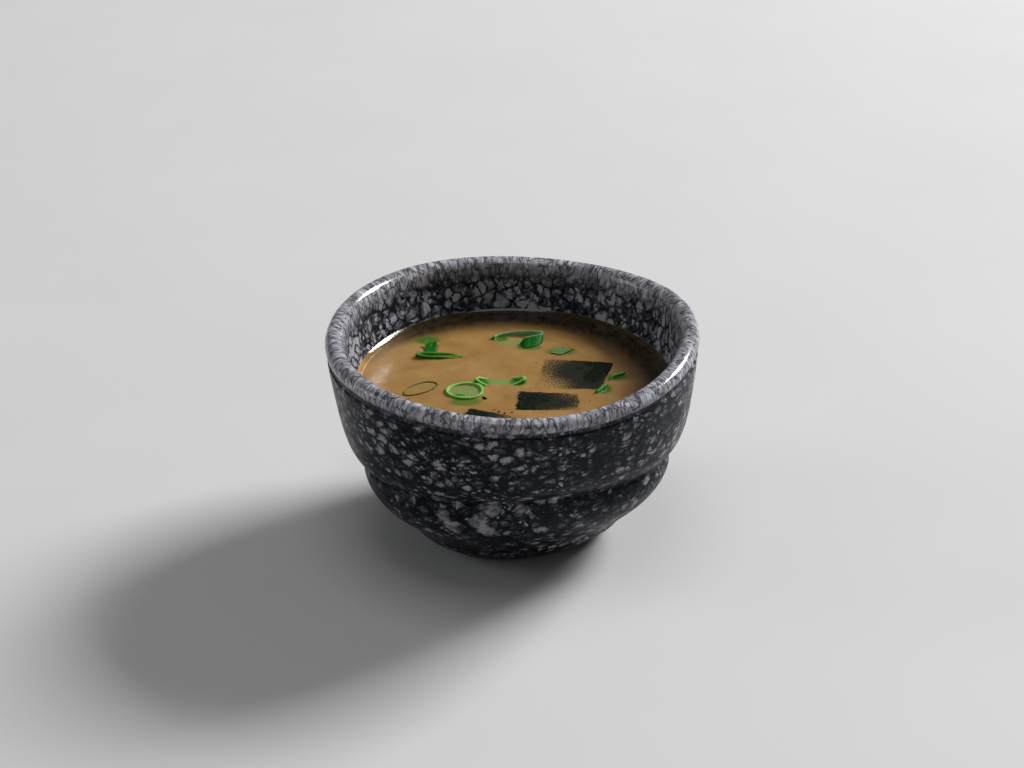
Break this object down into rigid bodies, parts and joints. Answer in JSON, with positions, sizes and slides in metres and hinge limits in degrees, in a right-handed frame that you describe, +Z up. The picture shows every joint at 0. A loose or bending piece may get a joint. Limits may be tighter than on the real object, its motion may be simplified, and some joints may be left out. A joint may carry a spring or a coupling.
{
  "type": "bowl of miso soup",
  "caption": "Stepped stoneware bowl with a rounded lip, filled with miso soup that carries squares of nori and slices of scallion.",
  "frame": {"origin": "middle of the bowl's box, on the plane that the foot ring stands on", "axes": "+Z up out of the bowl, +X to the right and -Y to the front; the rim is longest along Y"},
  "size_m": [0.1108, 0.1207, 0.0676],
  "materials": {
    "stoneware": "satin glaze, pale grey stone flecks in a near black web",
    "miso_broth": "wet, cloudy tan broth",
    "nori": "wet, grainy, nearly black seaweed sheet",
    "scallion": "wet leaf, deep green skin and pale green inside"
  },
  "bodies": {
    "root": {"bowl": "stoneware", "soup": "miso_broth", "nori_right": "nori", "nori_front": "nori", "nori_edge": "nori", "scallion_back": "scallion", "scallion_left": "scallion", "scallion_chip": "scallion", "scallion_ring": "scallion", "scallion_band": "scallion", "scallion_hoop": "scallion", "scallion_leaf": "scallion", "scallion_strip": "scallion"}
  },
  "joints": []
}
